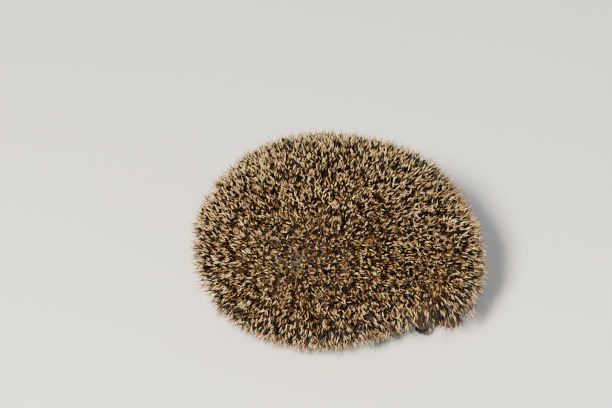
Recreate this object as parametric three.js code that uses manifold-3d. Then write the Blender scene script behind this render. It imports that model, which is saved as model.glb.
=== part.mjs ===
// A hedgehog, life size, crouched and half rolled up on the ground.
//
// The spiny back is drawn down to the floor all round. The body is bent to its right, so that the
// rump lies at -X and the head at +X, turned to -Y. The head is ducked: its brow stands out over
// the face, and the muzzle points down between the fore paws. Each solid reaches out to the tips
// of its coat. The floor is Z = 0, and the belly and the four paws stand on it with small flats.
// Units are millimetres.

import * as THREE from 'three';
import { mergeVertices } from 'three/addons/utils/BufferGeometryUtils.js';
import Module from 'manifold-3d';

// ---------------------------------------------------------------- driving dimensions

const GAP = 0.3; // between two solids that meet
const SKIRT_HEIGHT = 5; // of the lowest spine tips above the floor

// The spiny back is three rounded masses that run into each other. `semi` is each mass's half
// length, half width and height above its centre, `drop` its depth below it, `turn` its heading.
const TRUNK_MASS = { centre: [-10.5, 3, 52], semi: [83, 77, 64.5], drop: 52, turn: 16 };
const SHOULDER_MASS = { centre: [31, 13, 49], semi: [53, 59, 52], drop: 49, turn: 0 };
const HEAD_MASS = { centre: [53, -13, 45], semi: [40.5, 48, 43], drop: 45, turn: 0 };
const MASS_CORE = [22, -6, 42]; // inside all of them, and in sight of the whole surface
const UNDERSIDE_FULLNESS = 2.5; // 2 is an ellipsoid, and more is squarer
const BACK_BLEND = 15; // how softly the masses meet over the back
const CREASE_BLEND = 2; // how softly the head meets the flank in front
const BLEND_FROM_Y = -38; // the soft meeting begins here and is full at Y = 0

// The hollow under the brow that the face looks out of, and the crease between head and flank: a
// groove that opens towards the floor.
const BROW_HOLLOW = { centre: [60, -40, 0], semi: [31, 31, 39] };
const CREASE = { foot: [40, -55, 0], top: [31, -63, 62], foot_radius: 7, top_radius: 0.8 };

const NAPE_POINT = [46, -20]; // the cut between head and neck passes here, square to the heading
const NAPE_HEADING = -16; // degrees
const NECK_LENGTH = 20;

const SKULL_CENTRE = [55, -19, 40];
const NOSE_TIP = [54, -37, 7.5];
const SKULL_RADIUS = 22;
const SNOUT_RADIUS = 5.2; // just behind the nose
const SNOUT_START = 0.3; // share of the way from skull to nose where the snout begins
const FACE_WIDENING = 1.12; // the cheeks are this much wider than deep
const NOSE_SEMI = [4.6, 4, 3.8];

const EYE_RADIUS = 3.1;
const EYE_ALONG = 0.44; // share of the way from skull to nose tip
const EYE_SPREAD = 9; // from the middle of the face
const EYE_FORWARD = 6; // in front of the middle of the face

const EAR_SEMI = [9, 2.6, 11]; // half width, half thickness and half height
const EAR_ALONG = 0.12;
const EAR_SPREAD = 21.5;
const EAR_FLARE = 55; // degrees that each ear turns outwards

const BELLY = { centre: [-6, 4, 13.5], semi: [45, 39, 15] };

const TAIL_ROOT = [-54, -6, 15];
const TAIL_TIP = [-75, -9, 6.5];
const TAIL_RADIUS = 4.5;

// A paw is a flat oval pad with five toes. `heading` is where the toes point, in degrees from +X,
// and `limb_top` is where the lower leg goes into the body.
const PAW_HEIGHT = 8;
const TOES = 5;
const FORE_PAW = { length: 19, width: 14, toe: 6.5, spread: 62 };
const HIND_PAW = { length: 27, width: 13, toe: 7, spread: 48 };
const LEGS = {
  foreleg_right: { paw: FORE_PAW, at: [37, -15], heading: -94, limb_top: [36, -2, 19], limb: 6.5 },
  foreleg_left: { paw: FORE_PAW, at: [72, -11], heading: -84, limb_top: [70, 2, 19], limb: 6.5 },
  hindleg_right: { paw: HIND_PAW, at: [-28, -31], heading: -22, limb_top: [-44, -24, 21], limb: 8 },
  hindleg_left: { paw: HIND_PAW, at: [-63, 23], heading: 122, limb_top: [-53, 20, 21], limb: 8 },
};
const CLAW_LENGTH = 4.5;
const CLAW_RADIUS = 0.9;

const MANTLE_DETAIL = 9; // a ball of detail n has 20 (n + 1)^2 triangles
const ORGAN_DETAIL = 3;
const SMALL_DETAIL = 2;
const TINY_DETAIL = 1;
const LIMB_SIDES = 8;

// ---------------------------------------------------------------- materials

const coat = (color, roughness) => new THREE.MeshStandardMaterial({ color, roughness, metalness: 0 });
const spines = coat(0x6f614a, 0.6);
const fur = coat(0x7d6248, 0.9);
const faceFur = coat(0x5b4636, 0.9);
const pawSkin = coat(0x6e5546, 0.8);
const wetNose = coat(0x1c1716, 0.3);
const eyeGloss = coat(0x0d0a09, 0.08);

// ---------------------------------------------------------------- solids

const wasm = await Module();
wasm.setup();

const vector = (numbers) => new THREE.Vector3(...numbers);
const radians = THREE.MathUtils.degToRad;
const lerp = THREE.MathUtils.lerp;
const UP = new THREE.Vector3(0, 0, 1);

// A closed three.js geometry as a solid that can be joined and cut.
function solidOf(geometry) {
  const bare = new THREE.BufferGeometry();
  bare.setAttribute('position', geometry.getAttribute('position'));
  bare.setIndex(geometry.getIndex());
  const merged = mergeVertices(bare, 1e-3);
  const corners = merged.getIndex().array;
  const faces = [];
  for (let i = 0; i < corners.length; i += 3) {
    const [a, b, c] = corners.slice(i, i + 3);
    if (a !== b && b !== c && c !== a) faces.push(a, b, c);
  }
  return new wasm.Manifold(new wasm.Mesh({
    numProp: 3,
    vertProperties: merged.getAttribute('position').array,
    triVerts: new Uint32Array(faces),
  }));
}

// A solid back as a named mesh.
function meshOf(name, solid, material) {
  const made = solid.getMesh();
  const places = new Float32Array(made.numVert * 3);
  for (let i = 0; i < made.numVert; i++) {
    places.set(made.vertProperties.subarray(i * made.numProp, i * made.numProp + 3), i * 3);
  }
  const geometry = new THREE.BufferGeometry();
  geometry.setAttribute('position', new THREE.BufferAttribute(places, 3));
  geometry.setIndex(new THREE.BufferAttribute(new Uint32Array(made.triVerts), 1));
  geometry.computeVertexNormals();
  const mesh = new THREE.Mesh(geometry, material);
  mesh.name = name;
  return mesh;
}

const joined = (solids) => solids.reduce((sum, next) => sum.add(next));
const cutBy = (solid, cutters) => cutters.reduce((left, cutter) => left.subtract(cutter), solid);

// The largest of the bodies that a cut leaves, so that no sliver stays.
function largest(solid) {
  return solid.decompose().reduce((best, next) => (next.volume() > best.volume() ? next : best));
}

// An ellipsoid with half sizes `semi`, turned by `rotation` and moved to `centre`.
function ellipsoid(semi, centre, rotation = new THREE.Quaternion(), detail = SMALL_DETAIL) {
  const ball = new THREE.IcosahedronGeometry(1, detail);
  ball.scale(...semi).applyQuaternion(rotation).translate(...centre);
  return solidOf(ball);
}

// A round bar from one point to another, thinning from `thick` to `thin`, with round ends.
function taperedBar(from, to, thick, thin, sides = LIMB_SIDES, capSteps = 2) {
  const start = vector(from);
  const along = vector(to).sub(start);
  const length = along.length();
  const profile = [];
  for (let i = 0; i <= capSteps; i++) {
    const angle = (i / capSteps) * (Math.PI / 2);
    profile.push(new THREE.Vector2(thick * Math.sin(angle), -thick * Math.cos(angle)));
  }
  for (let i = 0; i <= capSteps; i++) {
    const angle = (i / capSteps) * (Math.PI / 2);
    profile.push(new THREE.Vector2(thin * Math.cos(angle), length + thin * Math.sin(angle)));
  }
  const bar = new THREE.LatheGeometry(profile, sides);
  const turn = new THREE.Quaternion().setFromUnitVectors(new THREE.Vector3(0, 1, 0), along.normalize());
  bar.applyQuaternion(turn).translate(...from);
  return solidOf(bar);
}

// All space on one side of an upright plane, or all space under the floor.
const VAST = 600;
function sideOf(point, heading) {
  const box = new THREE.BoxGeometry(VAST, VAST, VAST);
  box.translate(VAST / 2, 0, 0).rotateZ(radians(heading)).translate(point[0], point[1], 0);
  return solidOf(box);
}
function spaceBelow(height) {
  return solidOf(new THREE.BoxGeometry(VAST, VAST, VAST).translate(0, 0, height - VAST / 2));
}
const onFloor = (solid) => solid.subtract(spaceBelow(0));

// ---------------------------------------------------------------- the spiny back

// How far a point lies outside a mass, roughly in millimetres, and negative inside it.
function outside(mass, point) {
  const q = point.clone().sub(vector(mass.centre)).applyAxisAngle(UP, -radians(mass.turn));
  const [x, y] = [Math.abs(q.x) / mass.semi[0], Math.abs(q.y) / mass.semi[1]];
  const below = q.z < 0;
  const z = Math.abs(q.z) / (below ? mass.drop : mass.semi[2]);
  const power = below ? UNDERSIDE_FULLNESS : 2;
  const across = Math.hypot(x, y);
  const reach = (across ** power + z ** power) ** (1 / power);
  return (reach - 1) * Math.min(...mass.semi);
}

// The smaller of two distances, rounded where they are nearly alike.
function softMinimum(a, b, blend) {
  const share = THREE.MathUtils.clamp(0.5 + (b - a) / (2 * blend), 0, 1);
  return lerp(b, a, share) - blend * share * (1 - share);
}

function outsideBack(point) {
  const body = softMinimum(outside(TRUNK_MASS, point), outside(SHOULDER_MASS, point), BACK_BLEND);
  const soft = THREE.MathUtils.smoothstep(point.y, BLEND_FROM_Y, 0);
  const blend = lerp(CREASE_BLEND, BACK_BLEND, soft);
  return softMinimum(body, outside(HEAD_MASS, point), blend);
}

// The whole back as one ball, each point pushed out from the core until it meets the surface.
function spinyBack() {
  const ball = new THREE.IcosahedronGeometry(1, MANTLE_DETAIL);
  const places = ball.getAttribute('position');
  const core = vector(MASS_CORE);
  const FAR = 200;
  const HALVINGS = 24;
  for (let i = 0; i < places.count; i++) {
    const direction = new THREE.Vector3().fromBufferAttribute(places, i).normalize();
    let [near, far] = [0, FAR];
    for (let step = 0; step < HALVINGS; step++) {
      const middle = (near + far) / 2;
      const inside = outsideBack(core.clone().addScaledVector(direction, middle)) < 0;
      [near, far] = inside ? [middle, far] : [near, middle];
    }
    const place = core.clone().addScaledVector(direction, near);
    places.setXYZ(i, place.x, place.y, place.z);
  }
  return cutBy(solidOf(ball), [
    spaceBelow(SKIRT_HEIGHT),
    ellipsoid(BROW_HOLLOW.semi, BROW_HOLLOW.centre, undefined, ORGAN_DETAIL),
    taperedBar(CREASE.foot, CREASE.top, CREASE.foot_radius, CREASE.top_radius),
  ]);
}

// ---------------------------------------------------------------- the head's parts

const skull = vector(SKULL_CENTRE);
const noseTip = vector(NOSE_TIP);
const faceAxis = noseTip.clone().sub(skull);
const FACE_LENGTH = faceAxis.length();
faceAxis.normalize();
const faceSide = new THREE.Vector3().crossVectors(UP, faceAxis).normalize(); // to the animal's left
const faceFront = new THREE.Vector3().crossVectors(faceAxis, faceSide).normalize();
const faceTurn = new THREE.Quaternion().setFromRotationMatrix(
  new THREE.Matrix4().makeBasis(faceSide, faceFront, faceAxis),
);

// A point on the face: a share of the way down it, then so far to its left and to its front.
function onFace(along, left, front) {
  return skull.clone()
    .addScaledVector(faceAxis, along * FACE_LENGTH)
    .addScaledVector(faceSide, left)
    .addScaledVector(faceFront, front);
}

// The face's half depth, from the round skull to the narrow snout.
function faceRadius(along) {
  if (along < 0) return SKULL_RADIUS * Math.sqrt(Math.max(0, 1 - (along * FACE_LENGTH / SKULL_RADIUS) ** 2));
  const narrowing = THREE.MathUtils.smoothstep(along, -SNOUT_START, 1);
  return lerp(SKULL_RADIUS, SNOUT_RADIUS, narrowing ** (1 - SNOUT_START / 2));
}

function muzzle(grow) {
  const RINGS = 10;
  const SIDES = 16;
  const back = -SKULL_RADIUS / FACE_LENGTH;
  const end = 1 - NOSE_SEMI[2] / FACE_LENGTH;
  const profile = [new THREE.Vector2(0, back * FACE_LENGTH - grow)];
  for (let i = 1; i < RINGS; i++) {
    const along = lerp(back, end, i / RINGS);
    profile.push(new THREE.Vector2(faceRadius(along) + grow, along * FACE_LENGTH));
  }
  profile.push(new THREE.Vector2(SNOUT_RADIUS * 0.7 + grow, end * FACE_LENGTH));
  profile.push(new THREE.Vector2(0, end * FACE_LENGTH + 1 + grow));
  const form = new THREE.LatheGeometry(profile, SIDES);
  form.rotateX(Math.PI / 2).scale(FACE_WIDENING, 1, 1);
  form.applyQuaternion(faceTurn).translate(...skull.toArray());
  return solidOf(form);
}

function nose(grow) {
  const centre = noseTip.clone().addScaledVector(faceAxis, -NOSE_SEMI[2]);
  return ellipsoid(NOSE_SEMI.map((s) => s + grow), centre.toArray(), faceTurn, TINY_DETAIL);
}

function eye(side, grow) {
  const centre = onFace(EYE_ALONG, side * EYE_SPREAD, EYE_FORWARD);
  const radius = EYE_RADIUS + grow;
  return ellipsoid([radius, radius, radius], centre.toArray(), undefined, TINY_DETAIL);
}

function ear(side, grow) {
  const centre = onFace(EAR_ALONG, side * EAR_SPREAD, 0);
  const flare = new THREE.Quaternion().setFromAxisAngle(UP, side * radians(EAR_FLARE));
  return ellipsoid(EAR_SEMI.map((s) => s + grow), centre.toArray(), flare);
}

// ---------------------------------------------------------------- belly, tail and legs

function belly(grow) {
  const semi = BELLY.semi.map((s) => s + grow);
  return onFloor(ellipsoid(semi, BELLY.centre, undefined, ORGAN_DETAIL));
}

function tail(grow) {
  return taperedBar(TAIL_ROOT, TAIL_TIP, TAIL_RADIUS + grow, TAIL_RADIUS / 2 + grow);
}

// One toe, from the pad's edge out, and the claw on its end.
function toe(leg, index, grow) {
  const fan = lerp(-0.5, 0.5, index / (TOES - 1));
  const angle = radians(leg.heading + fan * leg.paw.spread);
  const out = new THREE.Vector3(Math.cos(angle), Math.sin(angle), 0);
  const reach = leg.paw.length / 2 - Math.abs(fan) * leg.paw.toe;
  const thickness = PAW_HEIGHT * 0.3;
  const root = new THREE.Vector3(leg.at[0], leg.at[1], thickness + 1).addScaledVector(out, reach * 0.6);
  const tip = root.clone().addScaledVector(out, leg.paw.toe);
  tip.z = thickness;
  const clawTip = tip.clone().addScaledVector(out, CLAW_LENGTH);
  clawTip.z = CLAW_RADIUS;
  return joined([
    taperedBar(root.toArray(), tip.toArray(), thickness + grow, thickness * 0.9 + grow, 6, 1),
    taperedBar(tip.toArray(), clawTip.toArray(), CLAW_RADIUS * 1.6 + grow, CLAW_RADIUS / 2 + grow, 4, 1),
  ]);
}

function legSolid(leg, grow) {
  const heading = new THREE.Quaternion().setFromAxisAngle(UP, radians(leg.heading));
  const semi = [leg.paw.length / 2, leg.paw.width / 2, PAW_HEIGHT * 0.7].map((s) => s + grow);
  const pad = ellipsoid(semi, [...leg.at, PAW_HEIGHT / 2], heading, SMALL_DETAIL);
  const toes = Array.from({ length: TOES }, (_, index) => toe(leg, index, grow));
  const ankle = [leg.at[0], leg.at[1], PAW_HEIGHT * 0.8];
  const limb = taperedBar(leg.limb_top, ankle, leg.limb + grow, leg.limb * 0.7 + grow);
  return onFloor(joined([pad, limb, ...toes]));
}

// ---------------------------------------------------------------- putting it together

const legNames = Object.keys(LEGS);
const organs = (grow) => [
  muzzle(grow), nose(grow), belly(grow), tail(grow),
  ...[1, -1].flatMap((side) => [eye(side, grow), ear(side, grow)]),
  ...legNames.map((name) => legSolid(LEGS[name], grow)),
];
const back = cutBy(spinyBack(), organs(GAP));

const heading = new THREE.Vector2(Math.cos(radians(NAPE_HEADING)), Math.sin(radians(NAPE_HEADING)));
const nape = new THREE.Vector2(...NAPE_POINT);
const behindNape = (distance) => nape.clone().addScaledVector(heading, -distance).toArray();
const headSide = sideOf(behindNape(0), NAPE_HEADING);
const neckSide = sideOf(behindNape(GAP), NAPE_HEADING);
const bodySide = sideOf(behindNape(NECK_LENGTH), NAPE_HEADING);
const trunkSide = sideOf(behindNape(NECK_LENGTH + GAP), NAPE_HEADING);

const hedgehog = new THREE.Group();
const add = (name, solid, material) => hedgehog.add(meshOf(name, largest(solid), material));

add('head', back.intersect(headSide), spines);
add('neck', back.intersect(bodySide).subtract(neckSide), spines);
add('trunk', back.subtract(trunkSide), spines);
add('belly', cutBy(belly(0), legNames.map((name) => legSolid(LEGS[name], GAP)).concat(tail(GAP))), fur);
add('muzzle', cutBy(muzzle(0), [nose(GAP), eye(1, GAP), eye(-1, GAP), ear(1, GAP), ear(-1, GAP)]), faceFur);
add('nose', nose(0), wetNose);
add('eye_left', eye(1, 0), eyeGloss);
add('eye_right', eye(-1, 0), eyeGloss);
add('ear_left', ear(1, 0), faceFur);
add('ear_right', ear(-1, 0), faceFur);
add('tail', tail(0), fur);
for (const name of legNames) add(name, legSolid(LEGS[name], 0), pawSkin);

// The frame's origin is on the floor, under the middle of the whole animal.
const bounds = new THREE.Box3().setFromObject(hedgehog);
const middle = bounds.getCenter(new THREE.Vector3());
hedgehog.position.set(-middle.x, -middle.y, -bounds.min.z);

export default hedgehog;
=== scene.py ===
"""A hedgehog, life size, crouched and half rolled up on the floor.

One skin holds head, body, ears, legs and tail. Spines stand on its back and brow, and fur covers
the face, the legs and the underside. Eyes, nose, claws and whiskers are pieces of their own.
"""

import math

import bpy
import numpy as np
from mathutils import Matrix, Vector, noise
from mathutils.kdtree import KDTree


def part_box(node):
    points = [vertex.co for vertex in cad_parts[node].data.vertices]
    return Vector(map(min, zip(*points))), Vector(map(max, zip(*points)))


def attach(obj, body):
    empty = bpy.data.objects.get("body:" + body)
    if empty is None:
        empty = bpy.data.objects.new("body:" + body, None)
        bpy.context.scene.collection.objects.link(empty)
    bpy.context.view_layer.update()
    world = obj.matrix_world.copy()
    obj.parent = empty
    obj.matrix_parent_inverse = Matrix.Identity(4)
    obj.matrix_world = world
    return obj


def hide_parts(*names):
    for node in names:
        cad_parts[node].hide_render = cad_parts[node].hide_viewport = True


bl_info = {
    "name": "Hedgehog",
    "version": (1, 0, 0),
    "blender": (4, 5, 0),
    "location": "3D View > Sidebar > Hedgehog",
    "description": "Models a crouched hedgehog over its packed solids",
    "category": "Object",
}

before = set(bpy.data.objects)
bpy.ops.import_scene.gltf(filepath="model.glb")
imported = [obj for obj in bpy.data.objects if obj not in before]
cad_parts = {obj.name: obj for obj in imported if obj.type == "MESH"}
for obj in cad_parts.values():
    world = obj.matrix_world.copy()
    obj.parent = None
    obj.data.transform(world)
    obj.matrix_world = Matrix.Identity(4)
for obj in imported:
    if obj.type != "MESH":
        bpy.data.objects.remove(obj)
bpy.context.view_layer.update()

MM = 0.001
UP = Vector((0, 0, 1))
SIDES = ("left", "right")


def mm(*values):
    """A place or size given in millimetres, in metres."""
    return Vector(values) * MM


def middle(node):
    """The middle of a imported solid."""
    low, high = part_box(node)
    return (low + high) / 2


# ---------------------------------------------------------------- measures

# The body's masses, out to the tips of the spines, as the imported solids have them: centre, half
# sizes, depth below the centre and heading in degrees.
MASSES = {
    "trunk": (mm(-10.8, 0, 52), mm(83, 77, 64.5), 52 * MM, 16),
    "shoulder": (mm(30.7, 10, 49), mm(53, 59, 52), 49 * MM, 0),
    "head": (mm(52.7, -16, 45), mm(40.5, 48, 43), 45 * MM, 0),
}
MASS_BLEND = 15 * MM
CREASE_BLEND = 2 * MM
BLEND_FROM_Y = -41 * MM
BLEND_TO_Y = -3 * MM
UNDERSIDE_FULLNESS = 2.5
SKIN_FLOOR = 13 * MM  # the underside of the back, between the legs
BROW_HOLLOW = (mm(59.7, -43, 0), mm(31, 31, 39))
CREASE = (mm(39.7, -58, 0), mm(30.7, -66, 62), 7 * MM, 0.8 * MM)

SKULL = mm(54.7, -22, 40)
NOSE_TIP = mm(53.7, -40, 7.5)
FACE_DOWN = (NOSE_TIP - SKULL).normalized()
FACE_LEFT = UP.cross(FACE_DOWN).normalized()
FACE_FRONT = FACE_DOWN.cross(FACE_LEFT).normalized()

BELLY = (mm(-6.3, 1, 14), mm(44, 38, 13.6))
TAIL = (mm(-54.3, -9, 15), mm(-74.6, -12, 6.9), 4.2 * MM, 1.8 * MM)

EAR_SEMI = mm(8.4, 1.7, 10.4)
EAR_FLARE = 55  # degrees that an ear is turned out from the head

TOES = 5
PAW_HEIGHT = 8 * MM
CLAW_LENGTH = 4.5 * MM
FORE_PAW = {"length": 19 * MM, "width": 14 * MM, "toe": 6.5 * MM, "spread": 62}
HIND_PAW = {"length": 27 * MM, "width": 13 * MM, "toe": 7 * MM, "spread": 48}
LEGS = {
    "foreleg_right": (FORE_PAW, mm(36.7, -18, 0), -94, mm(35.7, -5, 19), 6.5 * MM),
    "foreleg_left": (FORE_PAW, mm(71.7, -14, 0), -84, mm(69.7, -1, 19), 6.5 * MM),
    "hindleg_right": (HIND_PAW, mm(-28.3, -34, 0), -22, mm(-44.3, -27, 21), 8 * MM),
    "hindleg_left": (HIND_PAW, mm(-63.3, 20, 0), 122, mm(-53.3, 17, 21), 8 * MM),
}
FLOOR_CLEARANCE = 0.6 * MM  # of the skin, so that fur and pads reach the floor

# ---------------------------------------------------------------- settings


def length(name, text, millimetres):
    """A length that a user may change."""
    return bpy.props.FloatProperty(
        name=name, description=text, default=millimetres * MM, subtype="DISTANCE", unit="LENGTH"
    )


def colour(name, text, rgb):
    """A colour that a user may change."""
    return bpy.props.FloatVectorProperty(
        name=name, description=text, default=rgb, size=3, subtype="COLOR", min=0, max=1
    )


class SpineSettings(bpy.types.PropertyGroup):
    """Sizes and colours of the spines."""

    spacing: length("Spacing", "Least distance between two spines' roots", 1.32)
    longest: length("Longest", "Length of the longest spines", 27)
    shortest: length("Shortest", "Length of the shortest spines", 9)
    thickness: length("Thickness", "Thickness of a spine at its middle", 0.78)
    tip: colour("Tip", "Pale end of a spine", (1.0, 0.80, 0.39))
    under_tip: colour("Under tip", "Where the pale end begins", (0.7, 0.465, 0.235))
    band: colour("Band", "Dark band below the tip", (0.012, 0.009, 0.009))
    shaft: colour("Shaft", "Lower part of a spine", (0.6, 0.4, 0.19))


class CoatSettings(bpy.types.PropertyGroup):
    """Sizes and colours of skin and fur."""

    depth: length("Coat depth", "How far the spine tips stand off the skin", 16.5)
    flank_length: length("Flank fur", "Length of the hair under the skirt", 12)
    face_length: length("Face fur", "Length of the hair on the cheeks", 4.5)
    dark: colour("Dark fur", "Fur round the eyes and on the snout", (0.030, 0.017, 0.010))
    pale: colour("Pale fur", "Fur on flanks and cheeks", (0.30, 0.185, 0.095))
    # Nearly black: partly the skin's own dark colour, partly painted shade in the gaps between the
    # spines.
    skin: colour("Skin", "Bare skin between the spines", (0.018, 0.011, 0.008))


class FaceSettings(bpy.types.PropertyGroup):
    """Sizes and colours of eyes, nose, whiskers and claws."""

    whisker_length: length("Whiskers", "Length of the longest whiskers", 19)
    eye: colour("Eye", "The wet dark eye", (0.012, 0.007, 0.005))
    nose: colour("Nose", "Moist skin of the nose", (0.004, 0.003, 0.003))
    claw_base: colour("Claw base", "Claw where it leaves the toe", (0.16, 0.10, 0.07))
    claw_tip: colour("Claw tip", "Pale end of a claw", (0.52, 0.42, 0.30))


class StageSettings(bpy.types.PropertyGroup):
    """Camera and floor."""

    elevation: bpy.props.FloatProperty(
        name="Elevation",
        description="How far the camera looks down",
        default=math.radians(40),
        subtype="ANGLE",
        unit="ROTATION",
    )
    distance: length("Distance", "From the camera to the animal", 1600)
    view_width: length("View width", "Width of the view at the animal", 388)
    floor: colour("Floor", "Colour of the floor", (0.78, 0.76, 0.73))


# ---------------------------------------------------------------- modelling by hand


def deselect():
    """Nothing is selected or active, so that an operator acts on what it adds."""
    if bpy.context.object and bpy.context.object.mode != "OBJECT":
        bpy.ops.object.mode_set(mode="OBJECT")
    bpy.ops.object.select_all(action="DESELECT")
    bpy.context.view_layer.objects.active = None


def choose(pieces):
    """Selects these pieces, the first of them active."""
    deselect()
    for piece in pieces:
        piece.select_set(True)
    bpy.context.view_layer.objects.active = pieces[0]
    return pieces[0]


def settle(piece):
    """Moves a piece's place, turn and size into its mesh."""
    choose([piece])
    bpy.ops.object.transform_apply(location=True, rotation=True, scale=True)
    return piece


def join(pieces, name):
    """Several pieces as one object."""
    whole = choose(pieces)
    if len(pieces) > 1:
        bpy.ops.object.join()
    whole.name = name
    whole.data.name = name
    return whole


def finish(piece, kind, **values):
    """Adds a modifier and applies it."""
    choose([piece])
    modifier = piece.modifiers.new(kind.title(), kind)
    for key, value in values.items():
        setattr(modifier, key, value)
    bpy.ops.object.modifier_apply(modifier=modifier.name)
    return piece


def ball(centre, semi, turn=None, segments=48):
    """An ellipsoid with half sizes semi."""
    deselect()
    rotation = (turn or Matrix.Identity(3)).to_euler()
    bpy.ops.mesh.primitive_uv_sphere_add(
        segments=segments,
        ring_count=segments // 2,
        radius=1,
        location=centre,
        rotation=rotation,
        scale=semi,
    )
    return settle(bpy.context.object)


def bar(start, end, thick, thin, vertices=24):
    """A round bar that thins from start to end, with ball ends."""
    deselect()
    along = end - start
    bpy.ops.mesh.primitive_cone_add(
        vertices=vertices,
        radius1=thick,
        radius2=thin,
        depth=along.length,
        location=(start + end) / 2,
        rotation=along.to_track_quat("Z", "Y").to_euler(),
    )
    middle_part = settle(bpy.context.object)
    ends = [
        ball(start, (thick,) * 3, segments=vertices),
        ball(end, (thin,) * 3, segments=vertices),
    ]
    return [middle_part, *ends]


def turned(degrees):
    """A turn about the upright axis."""
    return Matrix.Rotation(math.radians(degrees), 3, "Z")


# ---------------------------------------------------------------- numbers on many points


def smooth_share(low, high, values):
    """0 up to low, 1 from high on and smooth between, or the other way round if low is greater."""
    share = np.clip((values - low) / (high - low), 0, 1)
    return share * share * (3 - 2 * share)


def outside_mass(mass, points):
    """How far each point lies outside a mass, and negative inside it."""
    centre, semi, drop, heading = mass
    local = (points - np.array(centre)) @ np.array(turned(heading))
    below = local[:, 2] < 0
    height = np.abs(local[:, 2]) / np.where(below, drop, semi.z)
    power = np.where(below, UNDERSIDE_FULLNESS, 2)
    across = np.hypot(local[:, 0] / semi.x, local[:, 1] / semi.y)
    reach = (across**power + height**power) ** (1 / power)
    return (reach - 1) * min(semi)


def soft_minimum(a, b, blend):
    """The smaller of two distances, rounded where they are nearly alike."""
    share = np.clip(0.5 + (b - a) / (2 * blend), 0, 1)
    return b + (a - b) * share - blend * share * (1 - share)


def outside_coat(points):
    """How far each point lies outside the spines' tips, and negative inside them."""
    body = soft_minimum(
        outside_mass(MASSES["trunk"], points), outside_mass(MASSES["shoulder"], points), MASS_BLEND
    )
    soft = smooth_share(BLEND_FROM_Y, BLEND_TO_Y, points[:, 1])
    blend = CREASE_BLEND + (MASS_BLEND - CREASE_BLEND) * soft
    return soft_minimum(body, outside_mass(MASSES["head"], points), blend)


def inside_ellipsoid(points, centre, semi):
    """Below 1 for points inside the ellipsoid."""
    return np.linalg.norm((points - np.array(centre)) / np.array(semi), axis=1)


def along_line(points, start, end):
    """How far along the line between two others each point lies, from 0 to 1."""
    along = np.array(end - start)
    return np.clip((points - np.array(start)) @ along / (along @ along), 0, 1)


def off_line(points, start, end):
    """How far each point lies from the line between two others."""
    share = along_line(points, start, end)[:, None]
    return np.linalg.norm(points - np.array(start) - share * np.array(end - start), axis=1)


def off_place(points, place):
    """How far each point lies from a place."""
    return np.linalg.norm(points - np.array(place), axis=1)


def unit(vectors):
    """Vectors of length one."""
    size = np.linalg.norm(vectors, axis=1, keepdims=True)
    return vectors / np.maximum(size, 1e-12)


def ripple(points, size, seed):
    """Smooth random values from -1 to 1 that change over the given size."""
    shift = Vector((seed * 7.3, seed * 3.1, seed * 5.7))
    return np.array([noise.noise(Vector(p) / size + shift) for p in points])


def read(parts, key, kind=float):
    """Three values of each of a mesh's parts, as an array."""
    values = np.empty(len(parts) * 3, kind)
    parts.foreach_get(key, values)
    return values.reshape(-1, 3)


def surface(piece):
    """A piece's points, smooth normals and triangles as arrays."""
    mesh = piece.data
    mesh.calc_loop_triangles()
    points, normals = (read(mesh.vertices, key) for key in ("co", "normal"))
    return points, normals, read(mesh.loop_triangles, "vertices", np.int32)


TRIES_PER_PLACE = 5  # so many roots are tried that the closest packing is nearly reached


def scatter(piece, share_at, spacing, random, closeness_at=None):
    """Roots spread over a piece where share_at is high: their places and normals.

    closeness_at gives the share of the spacing that holds at each place, and is 1 if left out.
    """
    points, normals, corners = surface(piece)
    share = share_at(points, normals)[corners].mean(1)
    closeness = closeness_at(points)[corners].mean(1) if closeness_at else np.ones(len(corners))
    a, b, c = (points[corners[:, i]] for i in range(3))
    area = np.linalg.norm(np.cross(b - a, c - a), axis=1) / 2 * share / closeness**2
    tries = int(area.sum() / spacing**2 * TRIES_PER_PLACE)
    picked = random.choice(len(corners), tries, p=area / area.sum())
    u, v = random.random((2, tries))
    flip = u + v > 1
    u, v = np.where(flip, 1 - u, u), np.where(flip, 1 - v, v)
    weights = np.stack([1 - u - v, u, v], 1)[:, :, None]
    places = (points[corners[picked]] * weights).sum(1)
    facing = unit((normals[corners[picked]] * weights).sum(1))
    kept = thinned(places, spacing * closeness[picked])
    return places[kept], facing[kept]


def thinned(places, spacings):
    """Which places stay when none may lie closer to another than its own spacing."""
    tree = KDTree(len(places))
    for index, place in enumerate(places):
        tree.insert(place, index)
    tree.balance()
    alive = np.ones(len(places), bool)
    for index, place in enumerate(places):
        if alive[index]:
            for _, other, _ in tree.find_range(place, spacings[index]):
                if other > index:
                    alive[other] = False
    return alive


# ---------------------------------------------------------------- strands: spines and hair

# A strand is rings of corners from root to tip. Each ring is (share of length, share of radius).
SPINE_RINGS = [(0, 0.5), (0.1, 0.85), (0.4, 1), (0.7, 0.92), (0.88, 0.6)]
HAIR_RINGS = [(0, 0.75), (0.35, 1), (0.72, 0.7)]
CLAW_RINGS = [
    (0, 0.8), (0.12, 1), (0.3, 0.92), (0.5, 0.76), (0.7, 0.54), (0.86, 0.33), (0.96, 0.16),
]
WHISKER_RINGS = [(0, 1), (0.2, 0.9), (0.4, 0.76), (0.6, 0.58), (0.8, 0.4)]
SPINE_SIDES = 5
HAIR_SIDES = 3
PATCH = 0.003  # side of one strand's patch in the baking map
MAP_MIDDLE = mm(-2, 0, 40)  # the skin's shape is unrolled round this point
MAP_RADIUS = 0.48
FLOOR_ROOM = 0.3 * MM  # least height of a strand's tip
MOST_FACES = 190_000  # triangles in one piece


def unrolled(places):
    """Each place on an equal-area unrolling of the body, from the top of the back outwards."""
    away = unit(places - np.array(MAP_MIDDLE))
    reach = np.sqrt(np.clip((1 - away[:, 2]) / 2, 0, 1)) * MAP_RADIUS
    level = np.maximum(np.hypot(away[:, 0], away[:, 1]), 1e-9)
    return 0.5 + away[:, :2] / level[:, None] * reach[:, None]


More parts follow.
